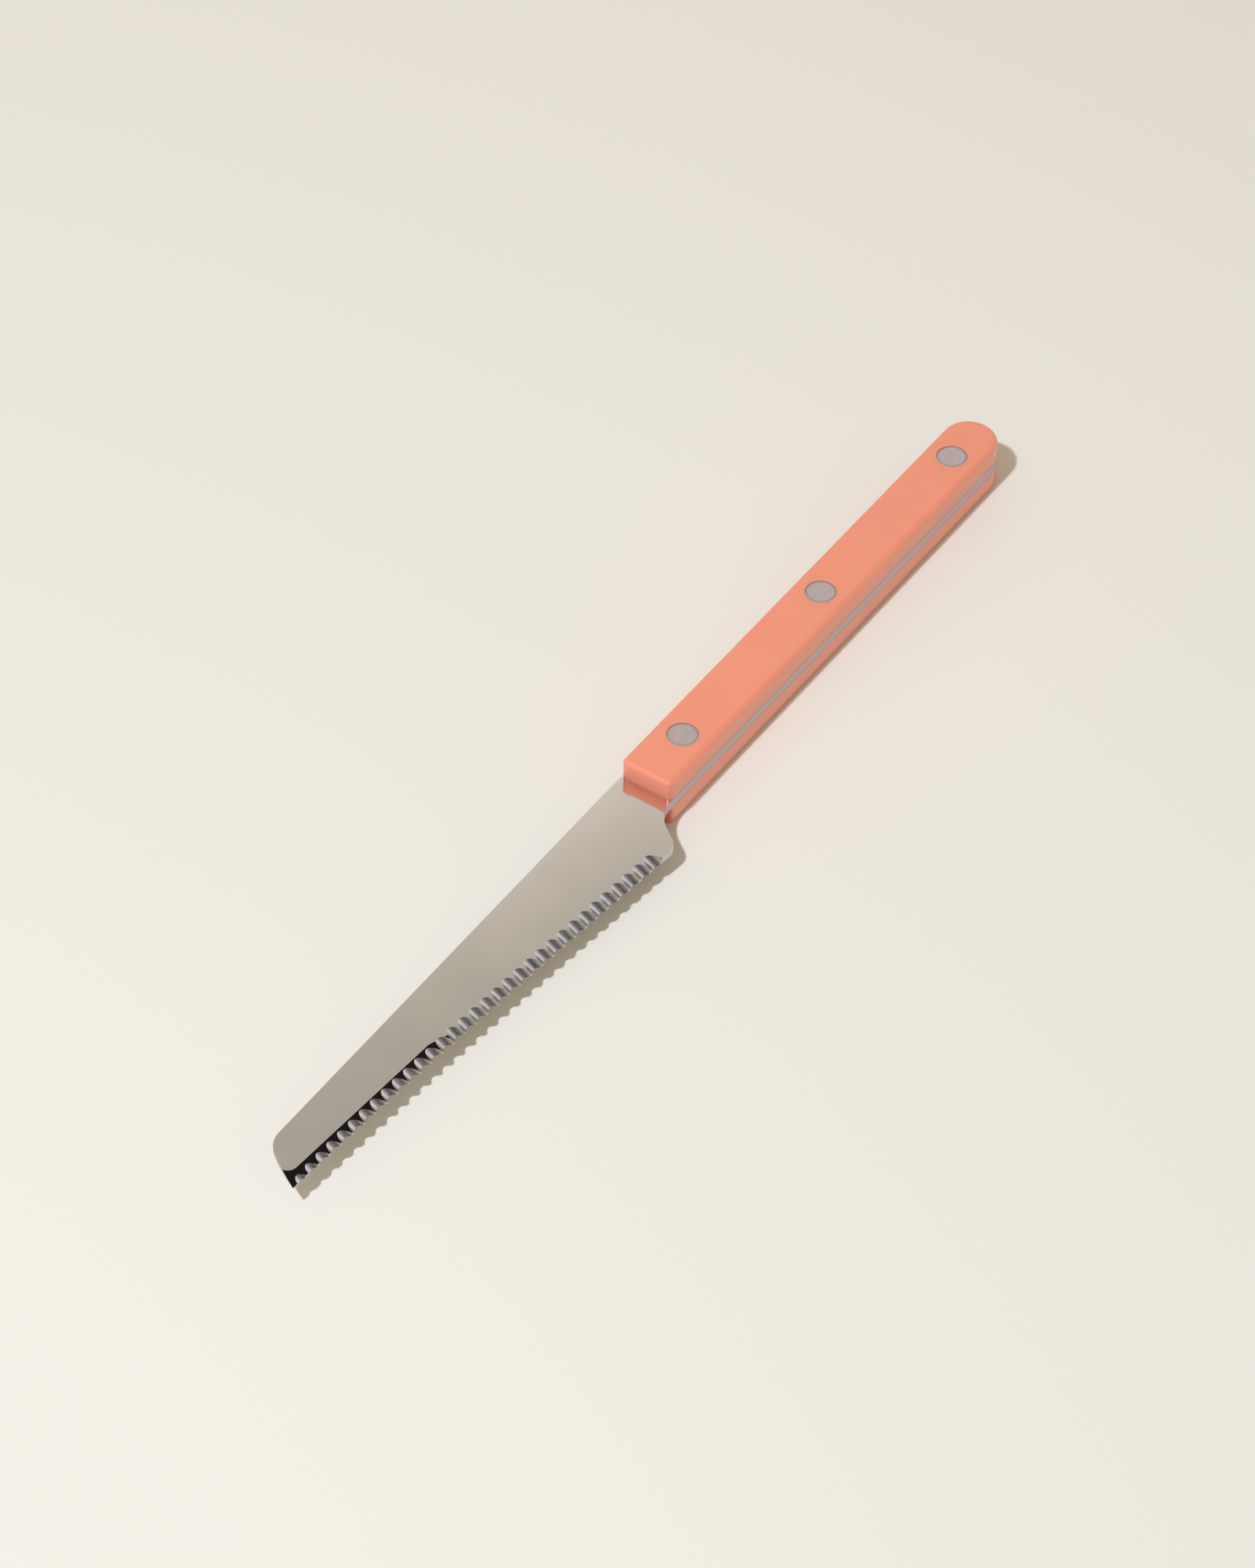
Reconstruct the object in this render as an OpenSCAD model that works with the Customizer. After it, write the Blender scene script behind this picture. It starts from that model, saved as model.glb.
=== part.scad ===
// Tomato knife: a full-tang blade with a scalloped cutting edge, two handle scales
// and three two-piece rivets. Millimetres, +Z up, lying flat on its lower scale.
// The tip points to -X, the butt to +X, the spine to +Y and the cutting edge to -Y.

/* [Handle] */
// Length of the handle, from the front of the scales to the butt
handle_len = 116.4; // [90:0.1:140]
// Width of the handle, spine side to belly side
handle_w = 11.2; // [9.6:0.1:13]
// Thickness of each scale
scale_t = 4.5; // [3.5:0.1:7]
// Rounding of the long outer edges of the scales
edge_r = 1; // [0.3:0.1:2]
// Rounding of the front edge of the scales, seen from the side
front_r = 0.8; // [0.2:0.1:1.5]
// Rounding of the two front corners of the scales, seen from above
corner_r = 1.1; // [0.2:0.1:2.5]
// Small chamfer of the scales where they meet the tang
seam = 0.12; // [0.05:0.01:0.3]

/* [Rivets] */
// Distance from each end of the scales to the nearest rivet
rivet_inset = 11.9; // [8:0.1:20]
// Diameter of the rivet heads
head_d = 6; // [5.2:0.1:7]
// Thickness of the rivet heads
head_t = 1.3; // [0.8:0.1:2]
// Diameter of the flat middle of a head
head_flat_d = 5.1; // [3:0.1:5.1]
// Fall of the sloping rim round that flat middle
head_fall = 0.15; // [0.05:0.01:0.3]
// Depth of the heads below the face of the scales
head_sink = 0.04; // [0:0.01:0.2]
// Outer diameter of the tubular shank
shank_d = 4; // [3.4:0.1:4.6]
// Diameter of the pin pressed into that shank
pin_d = 2.5; // [1.6:0.1:2.8]
// Radial clearance of heads and shanks in their holes
rivet_gap = 0.05; // [0.02:0.01:0.15]
// Space left beyond the end of the shank and of the pin
rivet_end_gap = 0.4; // [0.1:0.1:1]

/* [Blade] */
// Thickness of the tang, and of the blade at the spine where it leaves the handle
blade_t = 2; // [1.5:0.1:2.6]
// Thickness of the spine above the tip
tip_t = 1.05; // [0.8:0.05:1.4]
// Thickness of the blade at the bottom of the heel
heel_t = 1.35; // [1.1:0.05:1.45]
// Length of the blade, from the front of the scales to the tip
blade_len = 111.9; // [90:0.1:150]
// Distance in front of the handle over which the grind of the faces sets in
grind_run = 8; // [4:0.5:15]
// Fall of the spine from the handle to the tip
spine_fall = 0.3; // [0:0.1:1]
// Height of the blade at the tip
tip_h = 9.25; // [8.5:0.05:12]
// Radius between the spine and the slanted end
tip_r = 5.1; // [3:0.1:7]
// Distance along X from the tip to where the spine starts to round off
tip_run = 8.1; // [7.5:0.1:10]
// Radius of the slightly bowed slanted end
end_r = 36; // [25:1:90]

/* [Heel] */
// How far the heel hangs below the handle
heel_drop = 6.85; // [5.6:0.05:11]
// Radius of the rounded heel
heel_r = 3; // [2:0.1:5]
// Slope of the back of the heel, in degrees
heel_slope = 55; // [45:1:60]
// Radius of the hollow neck between heel and handle
neck_r = 6.9; // [4:0.1:9.5]
// Unserrated length between the heel and the last scallop
heel_plain = 2.2; // [1:0.1:8]
// Hollow of the cutting edge, measured at its middle
edge_hollow = 0.5; // [0:0.1:1.5]

/* [Serration] */
// Distance between teeth along X
pitch = 2.99; // [2.4:0.01:5]
// Radius of the round cutter that makes the scallops
scallop_r = 1.75; // [1.5:0.05:2.4]
// Angle between the cutter and the face of the blade, in degrees
scallop_tilt = 31.5; // [26:0.5:45]
// Distance along X from the tip to the middle of the first scallop
first_scallop = 2.2; // [1.8:0.05:5]
// How far the first scallop climbs the face, measured from the edge
reach_tip = 1.45; // [1.2:0.05:2.2]
// How far the scallops near the heel climb the face
reach_heel = 2.6; // [2.3:0.05:3.4]
// How far the bevel that thins the teeth reaches above the scallops at the first tooth
bevel_tip = 0.62; // [0.62:0.02:0.8]
// How far it reaches above them where it starts to run out
bevel_end = 0.21; // [0.2:0.01:0.4]
// Length of the bevel, from the first tooth to where it starts to run out
bevel_len = 35.5; // [30:0.5:60]
// Length over which it runs out to the edge
bevel_run = 9; // [5:0.5:12]
// Slope of the bevel, in degrees
bevel_slope = 9; // [2:0.5:12]
// Radius of the bevel where it turns up at the tip
bevel_r = 2; // [1:0.1:3]

/* [Hidden] */
$fn = 72;

half_w = handle_w / 2;
butt_x = handle_len - half_w;
rivet_x = [rivet_inset, handle_len / 2, handle_len - rivet_inset];
// All lengths below are taken from the front of the scales, the middle of the
// handle's width and the middle of the tang's thickness.
heel_y = -half_w - heel_drop;
spine_y = half_w - spine_fall;
tip = [-blade_len, spine_y - tip_h];
// Room that a cut reaches past the blade
over = 2 * blade_t;

// Neck and heel; the cutting edge runs from the lowest point of the heel to the tip
neck_c = [0, -half_w - neck_r];
neck_end = neck_c + neck_r * [-sin(heel_slope), cos(heel_slope)];
heel_top = heel_y + heel_r * (1 - cos(heel_slope));
heel_c = [neck_end[0] - (neck_end[1] - heel_top) / tan(heel_slope)
          - heel_r * sin(heel_slope), heel_y + heel_r];
edge_len = heel_c[0] - tip[0];

// Height of the cutting edge at x, and its slope there in degrees
function part_way(x) = (x - tip[0]) / edge_len;
function edge_y(x) = let (t = part_way(x))
    tip[1] + (heel_y - tip[1]) * t + 4 * edge_hollow * t * (1 - t);
// Corner between spine and end: the big arc of the end touches the small one
tip_c = [tip[0] + tip_run, spine_y - tip_r];
span = norm(tip_c - tip);
turn = acos((span * span + pow(end_r - tip_r, 2) - end_r * end_r)
            / (2 * span * (end_r - tip_r)));
bearing = atan2(tip[1] - tip_c[1], tip[0] - tip_c[0]) + turn;
end_c = tip_c + (end_r - tip_r) * [cos(bearing), sin(bearing)];
end_a0 = bearing + 180;
end_a1 = atan2(tip[1] - end_c[1], tip[0] - end_c[0]);

// Slopes of the two ground faces, along the blade and across it
taper = (blade_t - tip_t) / 2 / blade_len;
wedge = ((blade_t - heel_t) / 2 + taper * heel_c[0]) / (half_w - heel_y);
function face_z(x, y) = blade_t / 2 + taper * x + wedge * (y - half_w);

// Scallops
scallops = floor((edge_len - first_scallop - heel_plain) / pitch) + 1;
function scallop_x(k) = tip[0] + first_scallop + k * pitch;
function reach(x) =
    reach_heel - (reach_heel - reach_tip) * pow(1 - part_way(x), 5);

// Points along an arc, about 4 degrees apart, without its first point
function arc(c, r, a0, a1) = let (n = ceil(abs(a1 - a0) / 4))
    [for (i = [1:n]) let (a = a0 + (a1 - a0) * i / n) c + r * [cos(a), sin(a)]];

// Everything outside a quarter round of radius r whose corner is at the origin
module corner_cut(r) {
    difference() {
        translate([-r, -r]) square(2 * r);
        translate([-r, -r]) circle(r);
    }
}

// Blade and tang seen from above, without teeth or holes
module blade_plan() {
    steps = 24;
    polygon(concat(
        [[butt_x, half_w], [0, half_w], [tip_c[0], spine_y]],
        arc(tip_c, tip_r, 90, end_a0),
        arc(end_c, end_r, end_a0, end_a1),
        [for (i = [1:steps]) let (x = tip[0] + edge_len * i / steps) [x, edge_y(x)]],
        arc(heel_c, heel_r, -90, heel_slope - 90),
        [neck_end],
        arc(neck_c, neck_r, 90 + heel_slope, 90),
        [[butt_x, -half_w]]
    ));
    translate([butt_x, 0]) circle(half_w);
}

// Moves to the upper face at (x, y) and leans with it, so that the face lies flat
module on_face(x, y) {
    translate([x, y, face_z(x, y)])
        rotate([0, -atan(taper), 0]) rotate([atan(wedge), 0, 0]) children();
}

// What grinding takes off one face so that the blade thins to the edge and the tip.
// It sets in gently in front of the handle, so that no step shows there.
module face_grind() {
    intersection() {
        on_face(0, half_w)
            translate([-blade_len - over, heel_y - handle_w, 0])
                cube([blade_len + over, handle_w - 2 * heel_y, over]);
        translate([0, 0, blade_t / 2])
            rotate([0, -atan(wedge * handle_w / grind_run + taper), 0])
                translate([-2 * blade_len, heel_y - handle_w, 0])
                    cube([2 * blade_len, handle_w - 2 * heel_y, blade_len]);
    }
}

// Everything above a slope of a degrees that starts at the X axis and falls towards -Y
module slope_cut(a, x0, x1) {
    rotate([a, 0, 0]) translate([x0, -blade_len, 0])
        cube([x1 - x0, blade_len, blade_len]);
}

// The flat bevel that thins the teeth of the front part. It turns up along the
// slanted end in a quarter of a cone, and further back it runs out to the edge.
module edge_bevel() {
    x0 = scallop_x(0) + pitch / 2;
    x1 = x0 + bevel_len;
    x2 = x1 + bevel_run;
    y0 = edge_y(x0) + reach(x0) + bevel_tip;
    y1 = edge_y(x1) + reach(x1) + bevel_end;
    fall = atan((y0 - y1) / bevel_len);
    run_out = atan((y1 - edge_y(x2)) / bevel_run);
    on_face(x0, y0) rotate([0, 0, -fall]) {
        intersection() {
            slope_cut(bevel_slope, 0, 2 * bevel_len);
            translate([bevel_len / cos(fall), 0, 0]) rotate([0, 0, fall - run_out])
                slope_cut(bevel_slope, -2 * bevel_len, 2 * bevel_run);
        }
        translate([0, bevel_r, 0]) {
            rotate([0, 0, 180]) rotate_extrude(angle = 90)
                translate([bevel_r, 0]) rotate(-bevel_slope) square([tip_run, over]);
            translate([-bevel_r, 0, 0]) rotate([0, 0, -90])
                slope_cut(bevel_slope, -tip_r, 0);
        }
    }
}

// The round cutters of the serration, which run square to the handle
module scallop_cutters() {
    for (k = [0:scallops - 1]) {
        x = scallop_x(k);
        y = edge_y(x) + reach(x);
        translate([x, y, face_z(x, y)]) rotate([scallop_tilt, 0, 0])
            translate([0, 0, scallop_r]) rotate([90, 0, 0])
                cylinder(r = scallop_r, h = 2 * (reach(x) + over / sin(scallop_tilt)),
                         center = true);
    }
}

module shank_holes(h) {
    for (x = rivet_x)
        translate([x, 0, -h / 2]) cylinder(d = shank_d + 2 * rivet_gap, h = h);
}

module blade() {
    color([0.76, 0.74, 0.7])
        difference() {
            translate([0, 0, -blade_t / 2]) linear_extrude(blade_t) blade_plan();
            face_grind();
            mirror([0, 0, 1]) face_grind();
            edge_bevel();
            scallop_cutters();
            shank_holes(2 * over);
        }
}

// Half of the cross-section of a scale, from the middle out, tang side at the bottom
module half_section() {
    difference() {
        square([half_w, scale_t]);
        translate([half_w, scale_t]) corner_cut(edge_r);
        translate([half_w, 0]) circle(r = seam, $fn = 4);
    }
}

// Blank of a scale, tang side at z = 0, with a half-round butt
module scale_blank() {
    intersection() {
        union() {
            rotate([90, 0, 90]) linear_extrude(butt_x) {
                half_section();
                mirror([1, 0]) half_section();
            }
            translate([butt_x, 0, 0]) rotate([0, 0, -90])
                rotate_extrude(angle = 180) half_section();
        }
        // Front corners seen from above
        linear_extrude(scale_t) difference() {
            translate([0, -half_w]) square([handle_len, handle_w]);
            translate([0, half_w]) mirror([1, 0]) corner_cut(corner_r);
            translate([0, -half_w]) rotate(180) corner_cut(corner_r);
        }
        // Front edge seen from the side
        rotate([90, 0, 0]) translate([0, 0, -half_w]) linear_extrude(handle_w)
            difference() {
                square([handle_len, scale_t]);
                translate([0, scale_t]) mirror([1, 0]) corner_cut(front_r);
            }
    }
}

// Scale on the upper side; the lower one is its mirror image
module scale_piece() {
    seat = scale_t - head_t - head_sink;
    difference() {
        translate([0, 0, blade_t / 2]) scale_blank();
        shank_holes(2 * (scale_t + blade_t));
        for (x = rivet_x) translate([x, 0, blade_t / 2 + seat])
            cylinder(d = head_d + 2 * rivet_gap, h = head_t + over);
    }
}

module upper_scale() { color([0.95, 0.6, 0.5]) scale_piece(); }

module lower_scale() { color([0.93, 0.58, 0.48]) mirror([0, 0, 1]) scale_piece(); }

// Outer face of the heads, and the faces on which they seat, from the tang's middle
head_z = blade_t / 2 + scale_t - head_sink;
seat_z = head_z - head_t;

// Head of a rivet, its seat at z = 0
module head() {
    cylinder(d = head_d, h = head_t - head_fall);
    translate([0, 0, head_t - head_fall])
        cylinder(d1 = head_d, d2 = head_flat_d, h = head_fall);
}

// Male half: a head above and a pin that is pressed into the tubular shank
module rivet_stud(x) {
    color([0.72, 0.68, 0.66]) translate([x, 0, 0]) {
        translate([0, 0, seat_z]) head();
        translate([0, 0, -seat_z + rivet_end_gap])
            cylinder(d = pin_d, h = 2 * seat_z - rivet_end_gap);
    }
}

// Female half: a head below and a tubular shank that reaches up through the tang
module rivet_socket(x) {
    color([0.7, 0.66, 0.64]) translate([x, 0, 0]) {
        translate([0, 0, -seat_z]) mirror([0, 0, 1]) head();
        difference() {
            translate([0, 0, -seat_z])
                cylinder(d = shank_d, h = 2 * seat_z - rivet_end_gap);
            translate([0, 0, -seat_z])
                cylinder(d = pin_d, h = 2 * seat_z);
        }
    }
}

// Puts the origin under the middle of the whole knife, on the plane it lies on
module placed() {
    translate([(blade_len - handle_len) / 2, heel_drop / 2, scale_t + blade_t / 2])
        children();
}

placed() blade();
placed() upper_scale();
placed() lower_scale();
placed() rivet_stud(rivet_x[0]);  // front_rivet_stud
placed() rivet_socket(rivet_x[0]);  // front_rivet_socket
placed() rivet_stud(rivet_x[1]);  // middle_rivet_stud
placed() rivet_socket(rivet_x[1]);  // middle_rivet_socket
placed() rivet_stud(rivet_x[2]);  // rear_rivet_stud
placed() rivet_socket(rivet_x[2]);  // rear_rivet_socket
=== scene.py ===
import bpy
from bpy.props import FloatProperty, FloatVectorProperty, PointerProperty
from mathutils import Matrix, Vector

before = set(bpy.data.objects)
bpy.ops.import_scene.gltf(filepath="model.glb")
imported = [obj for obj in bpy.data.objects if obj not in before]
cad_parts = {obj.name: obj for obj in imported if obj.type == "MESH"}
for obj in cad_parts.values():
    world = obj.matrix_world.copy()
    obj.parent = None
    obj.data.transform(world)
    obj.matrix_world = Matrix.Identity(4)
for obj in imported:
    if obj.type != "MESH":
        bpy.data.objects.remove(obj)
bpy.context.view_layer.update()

bl_info = {
    "name": "Tomato Knife",
    "version": (1, 0, 0),
    "blender": (4, 5, 0),
    "location": "View3D > Sidebar > Tomato Knife",
    "description": "Dresses a scalloped tomato knife with riveted coral scales",
    "category": "Object",
}

# Where the lamp and the camera stand, in metres, and the way the camera looks
KEY_PLACE = (-0.477, 0.05, 0.844)
CAMERA_PLACE = (-0.543614, -0.372180, 0.698631)
CAMERA_AIM = (0.56506, 0.39636, -0.72361)
CAMERA_HEADING = (0.819, 0.574, 0)
SENSOR_WIDTH = 36
CLIP = (0.01, 20)

# Size of the floor, and how far its painted light changes before and behind the knife, in metres
FLOOR_SIZE = 6
FLOOR_LIGHT_FADE = 0.25

# The studio: where its parts lie, and how high or how far off their rims fade
CARD_DIRECTION = (0.53, 0.40, 0.745)
CARD_RIM = (0.978, 0.990)
FADE_DIRECTION = (-0.362, -0.782, 0.507)
CARD_FADE = (-0.138, -0.100)
SIDE_DIRECTION = (0.80, -0.50, 0.30)
SIDE_TOP = (0.70, 0.77)
WALL_TOP = (0.35, 0.74)
GLOW_DIRECTION = (0.05, -0.56, 0.83)

# How upright a surface's normal is at the rims of the ground faces, of all ground steel
# and of the rivets' flat heads
FACE_UPRIGHT = (0.90, 0.96)
GROUND_UPRIGHT = (0.1, 0.25)
HEAD_UPRIGHT = (0.955, 0.995)

# Painted reflection: tones across a scallop, from the wall towards the tip to the wall towards
# the handle
SCALLOP_LEAN = 0.6
PAINTED_SCALLOP_REFLECTION = ((0.02, 0.55), (0.08, 0.45), (0.18, 0.42), (0.28, 0.9), (0.90, 1.0), (0.99, 0.6))

# The brushed edge of the tang starts this far in front of the scales, in metres
TANG_LEAD = (0.003, 0.002)

# How far the normals of the scales' front ends lean forward, and where their painted shade starts
# and ends below the scale's inner and outer face, in metres
END_LEAN = (-0.95, -0.3)
END_SHADE_MARGINS = (0.0005, 0.0008)

# Fineness of the steel's noises, per metre, and depth of the finest relief, in metres
CLOUD_SCALE = 55
STREAK_SCALE = (6500, 180, 180)
BRUSHING_SCALE = 4200
GROOVE_DEPTH = 0.00001
PLASTIC_GRAIN_DEPTH = 0.000004
PAPER_GRAIN_DEPTH = 0.00002
PLASTIC_IOR = 1.49

SCALES = ("upper_scale", "lower_scale")
STUDS = ("front_rivet_stud", "middle_rivet_stud", "rear_rivet_stud")
SOCKETS = ("front_rivet_socket", "middle_rivet_socket", "rear_rivet_socket")


# ---------------------------------------------------------------- settings


class SteelSettings(bpy.types.PropertyGroup):
    """Finish of the blade"""

    colour: FloatVectorProperty(
        name="Steel", description="Colour of the polished stainless steel",
        subtype="COLOR", size=3, min=0, max=1, default=(0.845, 0.81, 0.785))
    roughness: FloatProperty(
        name="Roughness", description="Roughness of the polished faces",
        subtype="FACTOR", min=0.02, max=1, default=0.1)
    scallop_colour: FloatVectorProperty(
        name="Scallops", description="Colour of the ground scallops",
        subtype="COLOR", size=3, min=0, max=1, default=(0.84, 0.83, 0.81))
    scallop_roughness: FloatProperty(
        name="Scallop roughness", description="Roughness of the ground scallops",
        subtype="FACTOR", min=0.02, max=1, default=0.26)
    tang_colour: FloatVectorProperty(
        name="Tang edge", description="Colour of the brushed edge of the tang",
        subtype="COLOR", size=3, min=0, max=1, default=(0.52, 0.44, 0.47))
    tang_roughness: FloatProperty(
        name="Tang roughness", description="Roughness of the brushed edge of the tang",
        subtype="FACTOR", min=0.02, max=1, default=0.4)


class ScaleSettings(bpy.types.PropertyGroup):
    """Finish of the two handle scales"""

    colour: FloatVectorProperty(
        name="Coral", description="Colour of the plastic scales",
        subtype="COLOR", size=3, min=0, max=1, default=(0.93, 0.32, 0.2))
    roughness: FloatProperty(
        name="Roughness", description="Roughness of the plastic",
        subtype="FACTOR", min=0.02, max=1, default=0.36)
    end_shade_colour: FloatVectorProperty(
        name="End colour", description="Deeper colour of the front end next to the tang",
        subtype="COLOR", size=3, min=0, max=1, default=(0.76, 0.2, 0.12))


class RivetSettings(bpy.types.PropertyGroup):
    """Finish of the rivets"""

    colour: FloatVectorProperty(
        name="Rivet steel", description="Colour of the rivet heads",
        subtype="COLOR", size=3, min=0, max=1, default=(0.76, 0.665, 0.70))
    roughness: FloatProperty(
        name="Roughness", description="Roughness of the ground heads",
        subtype="FACTOR", min=0.02, max=1, default=0.26)


class StageSettings(bpy.types.PropertyGroup):
    """Floor, light and camera"""

    floor_colour: FloatVectorProperty(
        name="Floor", description="Colour of the paper floor",
        subtype="COLOR", size=3, min=0, max=1, default=(0.835, 0.82, 0.765))
    key_power: FloatProperty(
        name="Key light", description="Power of the key lamp, in watts",
        unit="POWER", min=0, max=200, default=25.8)
    key_colour: FloatVectorProperty(
        name="Key colour", description="Colour of the key lamp",
        subtype="COLOR", size=3, min=0, max=1, default=(0.845, 0.909, 1.0))
    key_radius: FloatProperty(
        name="Key size", description="Radius of the key lamp, which softens the shadow",
        subtype="DISTANCE", unit="LENGTH", min=0, max=1, default=0.03)
    wall_colour: FloatVectorProperty(
        name="Card", description="Colour of the pale card that the blade mirrors",
        subtype="COLOR", size=3, min=0, max=1, default=(1.0, 0.93, 0.815))
    side_colour: FloatVectorProperty(
        name="Side wall", description="Colour of the wall beside the object, as steel mirrors it",
        subtype="COLOR", size=3, min=0, max=1, default=(0.74, 0.69, 0.71))
    dark_colour: FloatVectorProperty(
        name="Dark", description="Colour of the dark studio above, as steel mirrors it",
        subtype="COLOR", size=3, min=0, max=1, default=(0.012, 0.008, 0.007))
    glow_colour: FloatVectorProperty(
        name="Glow", description="Colour of the dim glow overhead, as steel mirrors it",
        subtype="COLOR", size=3, min=0, max=1, default=(0.15, 0.135, 0.14))
    fill_colour: FloatVectorProperty(
        name="Fill", description="Colour of the soft light that fills the shadows",
        subtype="COLOR", size=3, min=0, max=1, default=(0.485, 0.42, 0.335))
    focal_length: FloatProperty(
        name="Focal length", description="Focal length of the camera, in millimetres",
        min=20, max=400, default=118.76)


# ---------------------------------------------------------------- node helpers


def new_material(name):
    """An empty node material with its Principled shader."""
    mat = bpy.data.materials.new(name)
    mat.use_nodes = True
    nodes = mat.node_tree.nodes
    shader = nodes["Principled BSDF"]
    return mat, nodes, mat.node_tree.links, shader


def coordinates(nodes, links, scale=(1, 1, 1)):
    """Object coordinates through a Mapping node."""
    where = nodes.new("ShaderNodeTexCoord")
    mapping = nodes.new("ShaderNodeMapping")
    mapping.inputs["Scale"].default_value = scale
    links.new(where.outputs["Object"], mapping.inputs["Vector"])
    return mapping.outputs["Vector"]


def normal_of(nodes):
    """The normal of the piece's own surface."""
    return nodes.new("ShaderNodeTexCoord").outputs["Normal"]


def piece_bounds(name):
    """Lowest and highest corner of a CAD node, in metres."""
    corners = [vertex.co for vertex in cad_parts[name].data.vertices]
    return [[pick(c[axis] for c in corners) for axis in range(3)] for pick in (min, max)]


def maths(nodes, links, operation, first, second=None):
    """One or two values through a Math node."""
    node = nodes.new("ShaderNodeMath")
    node.operation = operation
    links.new(first, node.inputs[0])
    if second is not None:
        links.new(second, node.inputs[1])
    return node.outputs["Value"]


def split(nodes, links, vector):
    """The X, Y and Z of a vector."""
    node = nodes.new("ShaderNodeSeparateXYZ")
    links.new(vector, node.inputs["Vector"])
    return node.outputs


def noise(nodes, links, vector, scale, detail=4, roughness=0.5):
    """Noise from 0 to 1."""
    tex = nodes.new("ShaderNodeTexNoise")
    tex.inputs["Scale"].default_value = scale
    tex.inputs["Detail"].default_value = detail
    tex.inputs["Roughness"].default_value = roughness
    links.new(vector, tex.inputs["Vector"])
    return tex.outputs["Fac"]


def spread(nodes, links, value, low, high, start=0.0, end=1.0):
    """Maps a value from start..end to low..high."""
    node = nodes.new("ShaderNodeMapRange")
    node.inputs["From Min"].default_value = start
    node.inputs["From Max"].default_value = end
    node.inputs["To Min"].default_value = low
    node.inputs["To Max"].default_value = high
    links.new(value, node.inputs["Value"])
    return node.outputs["Result"]


def ramp(nodes, links, value, stops):
    """Turns a value into a colour by stops of (place, colour)."""
    node = nodes.new("ShaderNodeValToRGB")
    band = node.color_ramp
    while len(band.elements) > 1:
        band.elements.remove(band.elements[0])
    band.elements[0].position = stops[0][0]
    band.elements[0].color = (*stops[0][1], 1)
    for place, colour in stops[1:]:
        band.elements.new(place).color = (*colour, 1)
    links.new(value, node.inputs["Fac"])
    return node.outputs["Color"]


def facing(nodes, links, vector, direction):
    """How far a view direction points along another, from -1 to 1."""
    dot = nodes.new("ShaderNodeVectorMath")
    dot.operation = "DOT_PRODUCT"
    dot.inputs[1].default_value = Vector(direction).normalized()
    links.new(vector, dot.inputs[0])
    return dot.outputs["Value"]


def mixed(nodes, links, factor, first, second):
    """Mixes two colours, each a socket or a plain value."""
    node = nodes.new("ShaderNodeMix")
    node.data_type = "RGBA"
    links.new(factor, node.inputs["Factor"])
    for name, colour in (("A", first), ("B", second)):
        if isinstance(colour, bpy.types.NodeSocket):
            links.new(colour, node.inputs[name])
        else:
            node.inputs[name].default_value = (*colour, 1)
    return node.outputs["Result"]


def bump(nodes, links, height, distance, strength):
    """A normal that follows a fine relief, its distance in metres."""
    node = nodes.new("ShaderNodeBump")
    node.inputs["Distance"].default_value = distance
    node.inputs["Strength"].default_value = strength
    links.new(height, node.inputs["Height"])
    return node.outputs["Normal"]


def shade(colour, factor):
    """A colour made darker or lighter."""
    return tuple(min(1.0, c * factor) for c in colour)


def dress(piece, material):
    """Puts a material on every slot of a piece."""
    if not piece.material_slots:
        piece.data.materials.append(material)
    for slot in piece.material_slots:
        slot.material = material


# ---------------------------------------------------------------- materials


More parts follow.
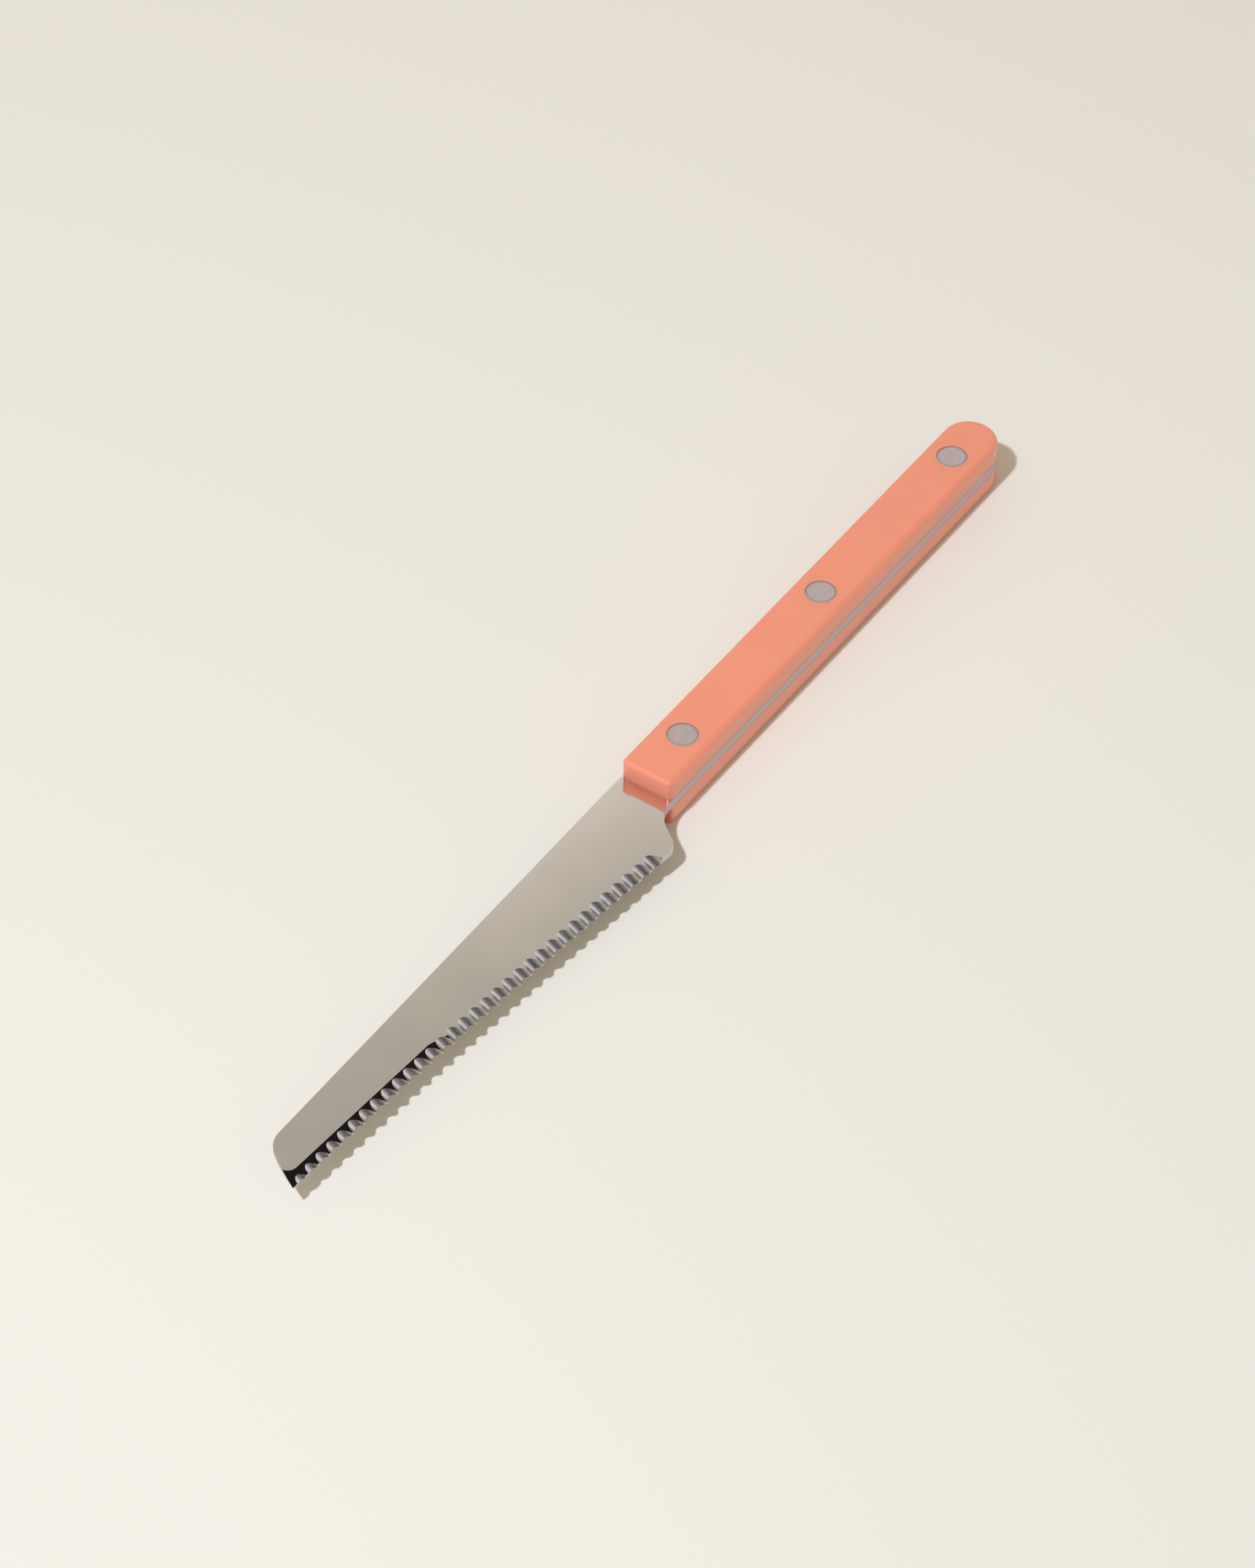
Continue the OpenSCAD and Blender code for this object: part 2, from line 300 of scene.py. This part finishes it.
def steel_material(settings):
    """Polished faces, streaked scallops with a painted reflection, painted shade on the square
    edges of the sheet, and the brushed edge of the tang.
    """
    mat, nodes, links, shader = new_material("polished_steel")
    place = coordinates(nodes, links)
    lean = split(nodes, links, normal_of(nodes))
    upright = maths(nodes, links, "ABSOLUTE", lean["Z"])
    # 1 on the ground faces, 0 in the scallops
    flat = spread(nodes, links, upright, 0, 1, *FACE_UPRIGHT)
    # 1 where a cutter went, 0 on the square edges of the sheet
    ground = spread(nodes, links, upright, 0, 1, *GROUND_UPRIGHT)
    # 1 between the scales, 0 in front of them
    front = piece_bounds("upper_scale")[0][0]
    tang = spread(nodes, links, split(nodes, links, place)["X"], 0, 1,
                  *(front - lead for lead in TANG_LEAD))

    clouds = noise(nodes, links, place, CLOUD_SCALE, detail=5)
    streaks = noise(nodes, links, coordinates(nodes, links, scale=STREAK_SCALE), 1.0,
                    detail=4, roughness=0.7)
    brushing = noise(nodes, links, place, BRUSHING_SCALE, detail=3, roughness=0.7)
    face = ramp(nodes, links, clouds, [
        (0.3, shade(settings.colour, 0.94)), (0.7, shade(settings.colour, 1.03))])
    # Painted reflection: across each scallop the tone follows the lean of the normal, so the wall
    # towards the tip is painted darker than the wall towards the handle
    uneven = maths(nodes, links, "ADD", lean["X"],
                   spread(nodes, links, streaks, -0.2, 0.2, 0.3, 0.7))
    turn = spread(nodes, links, uneven, 0, 1, -SCALLOP_LEAN, SCALLOP_LEAN)
    wall = ramp(nodes, links, turn, [
        (stop, shade(settings.scallop_colour, factor)) for stop, factor in PAINTED_SCALLOP_REFLECTION])
    depth = spread(nodes, links, streaks, 0.6, 0, 0.34, 0.46)
    scallop = mixed(nodes, links, depth, wall, shade(settings.scallop_colour, 0.22))
    edge = ramp(nodes, links, brushing, [
        (0.3, shade(settings.tang_colour, 0.8)), (0.7, shade(settings.tang_colour, 1.2))])
    # Painted shade: the square edges of the sheet get a darker copy of the scallop colour
    cut = mixed(nodes, links, ground, shade(settings.scallop_colour, 0.68), scallop)
    walls = mixed(nodes, links, tang, cut, edge)

    links.new(mixed(nodes, links, flat, walls, face), shader.inputs["Base Color"])
    shader.inputs["Metallic"].default_value = 1.0
    rough = nodes.new("ShaderNodeMix")
    links.new(flat, rough.inputs["Factor"])
    links.new(spread(nodes, links, tang, settings.scallop_roughness, settings.tang_roughness),
              rough.inputs["A"])
    rough.inputs["B"].default_value = settings.roughness
    links.new(rough.outputs["Result"], shader.inputs["Roughness"])
    grooves = maths(nodes, links, "MULTIPLY", streaks, spread(nodes, links, flat, 1, 0.1))
    links.new(bump(nodes, links, grooves, GROOVE_DEPTH, 0.25), shader.inputs["Normal"])
    return mat


def scale_material(settings):
    """Solid coral plastic with a soft sheen."""
    mat, nodes, links, shader = new_material("coral_plastic")
    place = coordinates(nodes, links)
    clouds = noise(nodes, links, place, 70, detail=4)
    grain = noise(nodes, links, place, 5200, detail=2)
    base = ramp(nodes, links, clouds, [
        (0.3, shade(settings.colour, 0.975)), (0.7, shade(settings.colour, 1.02))])
    # Painted shade: the cut front end is painted a deeper colour towards the tang
    low, high = piece_bounds("upper_scale")
    forward = spread(nodes, links, split(nodes, links, normal_of(nodes))["X"], 1, 0,
                     *END_LEAN)
    inner = spread(nodes, links, split(nodes, links, place)["Z"], 1, 0,
                   low[2] - END_SHADE_MARGINS[0], high[2] - END_SHADE_MARGINS[1])
    end = maths(nodes, links, "MULTIPLY", forward, inner)
    links.new(mixed(nodes, links, end, base, settings.end_shade_colour), shader.inputs["Base Color"])
    links.new(spread(nodes, links, clouds, settings.roughness - 0.03,
                     settings.roughness + 0.05, 0.3, 0.7), shader.inputs["Roughness"])
    shader.inputs["IOR"].default_value = PLASTIC_IOR
    shader.inputs["Coat Weight"].default_value = 0.5
    shader.inputs["Coat Roughness"].default_value = 0.035
    shader.inputs["Subsurface Weight"].default_value = 0.35
    shader.inputs["Subsurface Radius"].default_value = (1.0, 0.35, 0.2)
    shader.inputs["Subsurface Scale"].default_value = 0.0022
    links.new(bump(nodes, links, grain, PLASTIC_GRAIN_DEPTH, 0.4), shader.inputs["Normal"])
    return mat


def rivet_material(settings):
    """Finely grained rivet heads."""
    mat, nodes, links, shader = new_material("rivet_steel")
    place = coordinates(nodes, links)
    grain = noise(nodes, links, place, 3600, detail=4, roughness=0.7)
    patches = noise(nodes, links, place, 700, detail=3)
    mottled = ramp(nodes, links, patches, [
        (0.3, shade(settings.colour, 0.94)), (0.7, shade(settings.colour, 1.06))])
    head = mixed(nodes, links, spread(nodes, links, grain, 0, 0.6, 0.35, 0.65),
                 mottled, shade(settings.colour, 0.8))
    # The rounded rim, where the normal tips away from upright, is not metallic and carries
    # painted shade: a darker copy of the head's colour
    upright = maths(nodes, links, "ABSOLUTE", split(nodes, links, normal_of(nodes))["Z"])
    polished = spread(nodes, links, upright, 0, 1, *HEAD_UPRIGHT)
    links.new(polished, shader.inputs["Metallic"])
    links.new(mixed(nodes, links, polished, shade(settings.colour, 0.5), head),
              shader.inputs["Base Color"])
    shader.inputs["Roughness"].default_value = settings.roughness
    links.new(bump(nodes, links, grain, GROOVE_DEPTH, 0.3), shader.inputs["Normal"])
    return mat


def floor_material(settings):
    """Pale paper, with painted light that makes it a touch lighter away from the viewer."""
    mat, nodes, links, shader = new_material("pale_paper")
    place = coordinates(nodes, links)
    ahead = nodes.new("ShaderNodeVectorMath")
    ahead.operation = "DOT_PRODUCT"
    ahead.inputs[1].default_value = CAMERA_HEADING
    links.new(place, ahead.inputs[0])
    away = spread(nodes, links, ahead.outputs["Value"], 0, 1, -FLOOR_LIGHT_FADE, FLOOR_LIGHT_FADE)
    links.new(ramp(nodes, links, away, [
        (0.0, shade(settings.floor_colour, 1.02)), (1.0, shade(settings.floor_colour, 1.05))]),
        shader.inputs["Base Color"])
    shader.inputs["Roughness"].default_value = 0.9
    shader.inputs["Specular IOR Level"].default_value = 0.2
    grain = noise(nodes, links, place, 900, detail=3)
    links.new(bump(nodes, links, grain, PAPER_GRAIN_DEPTH, 0.2), shader.inputs["Normal"])
    return mat


# ---------------------------------------------------------------- pieces


class TOMATO_KNIFE_OT_blade(bpy.types.Operator):
    """Polish the scalloped blade"""

    bl_idname = "tomato_knife.blade"
    bl_label = "Blade"

    def execute(self, context):
        dress(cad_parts["blade"], steel_material(context.scene.knife_steel))
        return {"FINISHED"}


class TOMATO_KNIFE_OT_scales(bpy.types.Operator):
    """Colour the two handle scales"""

    bl_idname = "tomato_knife.scales"
    bl_label = "Handle scales"

    def execute(self, context):
        plastic = scale_material(context.scene.knife_scales)
        for name in SCALES:
            dress(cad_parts[name], plastic)
        return {"FINISHED"}


class TOMATO_KNIFE_OT_rivets(bpy.types.Operator):
    """Finish the three two-piece rivets"""

    bl_idname = "tomato_knife.rivets"
    bl_label = "Rivets"

    def execute(self, context):
        metal = rivet_material(context.scene.knife_rivets)
        for name in STUDS + SOCKETS:
            dress(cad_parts[name], metal)
        return {"FINISHED"}


def world_light(scene, settings):
    """The studio that the steel mirrors, and the soft light that it gives."""
    world = bpy.data.worlds.new("studio")
    scene.world = world
    world.use_nodes = True
    nodes, links = world.node_tree.nodes, world.node_tree.links
    where = nodes.new("ShaderNodeTexCoord").outputs["Generated"]
    height = split(nodes, links, where)["Z"]
    wall = settings.wall_colour

    def lobe(direction, start, end):
        """1 in a direction, 0 away from it."""
        return spread(nodes, links, facing(nodes, links, where, direction), 0, 1, start, end)

    # Bright low down, dark overhead but for a grey glow on the side of the cutting edge
    over = mixed(nodes, links, lobe(GLOW_DIRECTION, 0.7, 0.95),
                 settings.dark_colour, settings.glow_colour)
    around = mixed(nodes, links, spread(nodes, links, height, 1, 0, *WALL_TOP),
                   over, shade(wall, 0.75))
    # The cool wall beyond the butt, which the scallops mirror
    side = maths(nodes, links, "MULTIPLY", lobe(SIDE_DIRECTION, 0.25, 0.8),
                 spread(nodes, links, height, 1, 0, *SIDE_TOP))
    beside = mixed(nodes, links, side, around, settings.side_colour)
    # The pale card opposite the camera, which the faces of the blade mirror
    tone = mixed(nodes, links, lobe(FADE_DIRECTION, *CARD_FADE), wall, shade(wall, 0.43))
    lit = mixed(nodes, links, lobe(CARD_DIRECTION, *CARD_RIM), beside, tone)
    # The camera sees the floor's colour, mirrors see the studio and the rest gets the fill
    path = nodes.new("ShaderNodeLightPath")
    seen = mixed(nodes, links, path.outputs["Is Camera Ray"], lit,
                 shade(settings.floor_colour, 0.98))
    sharp = maths(nodes, links, "MAXIMUM",
                  path.outputs["Is Camera Ray"], path.outputs["Is Glossy Ray"])
    back = nodes["Background"]
    links.new(mixed(nodes, links, sharp, settings.fill_colour, seen), back.inputs["Color"])
    back.inputs["Strength"].default_value = 1.0


class TOMATO_KNIFE_OT_stage(bpy.types.Operator):
    """Set the floor, the light and the camera"""

    bl_idname = "tomato_knife.stage"
    bl_label = "Stage"

    def execute(self, context):
        settings = context.scene.knife_stage
        bpy.ops.object.select_all(action="DESELECT")
        bpy.ops.mesh.primitive_plane_add(size=FLOOR_SIZE, location=(0, 0, 0))
        floor = context.object
        floor.name = "floor"
        dress(floor, floor_material(settings))

        lamp = bpy.data.lights.new("key", "POINT")
        lamp.energy = settings.key_power
        lamp.color = settings.key_colour
        lamp.shadow_soft_size = settings.key_radius
        # Brightness falls off with the distance, not with its square, as from a large window
        lamp.use_nodes = True
        falloff = lamp.node_tree.nodes.new("ShaderNodeLightFalloff")
        falloff.inputs["Strength"].default_value = 1.0
        lamp.node_tree.links.new(falloff.outputs["Linear"],
                                 lamp.node_tree.nodes["Emission"].inputs["Strength"])
        key = bpy.data.objects.new("key", lamp)
        key.location = KEY_PLACE
        context.scene.collection.objects.link(key)

        lens = bpy.data.cameras.new("camera")
        lens.lens = settings.focal_length
        lens.sensor_width = SENSOR_WIDTH
        lens.clip_start, lens.clip_end = CLIP
        camera = bpy.data.objects.new("camera", lens)
        camera.location = CAMERA_PLACE
        camera.rotation_mode = "QUATERNION"
        camera.rotation_quaternion = Vector(CAMERA_AIM).to_track_quat("-Z", "Y")
        context.scene.collection.objects.link(camera)
        context.scene.camera = camera

        world_light(context.scene, settings)
        context.scene.view_settings.view_transform = "Standard"
        return {"FINISHED"}


class TOMATO_KNIFE_PT_panel(bpy.types.Panel):
    bl_idname = "TOMATO_KNIFE_PT_panel"
    bl_label = "Tomato Knife"
    bl_space_type = "VIEW_3D"
    bl_region_type = "UI"
    bl_category = "Tomato Knife"

    def draw(self, context):
        layout, scene = self.layout, context.scene
        for operator, settings in (
            ("tomato_knife.blade", scene.knife_steel),
            ("tomato_knife.scales", scene.knife_scales),
            ("tomato_knife.rivets", scene.knife_rivets),
            ("tomato_knife.stage", scene.knife_stage),
        ):
            box = layout.box()
            for name in settings.bl_rna.properties.keys():
                if name not in ("rna_type", "name"):
                    box.prop(settings, name)
            box.operator(operator)


CLASSES = (
    SteelSettings, ScaleSettings, RivetSettings, StageSettings,
    TOMATO_KNIFE_OT_blade, TOMATO_KNIFE_OT_scales, TOMATO_KNIFE_OT_rivets,
    TOMATO_KNIFE_OT_stage, TOMATO_KNIFE_PT_panel,
)


def register():
    for cls in CLASSES:
        bpy.utils.register_class(cls)
    bpy.types.Scene.knife_steel = PointerProperty(type=SteelSettings)
    bpy.types.Scene.knife_scales = PointerProperty(type=ScaleSettings)
    bpy.types.Scene.knife_rivets = PointerProperty(type=RivetSettings)
    bpy.types.Scene.knife_stage = PointerProperty(type=StageSettings)


def unregister():
    for name in ("knife_stage", "knife_rivets", "knife_scales", "knife_steel"):
        delattr(bpy.types.Scene, name)
    for cls in reversed(CLASSES):
        bpy.utils.unregister_class(cls)


def main():
    register()
    bpy.ops.tomato_knife.stage()
    bpy.ops.tomato_knife.blade()
    bpy.ops.tomato_knife.scales()
    bpy.ops.tomato_knife.rivets()


if __name__ == "__main__":
    main()
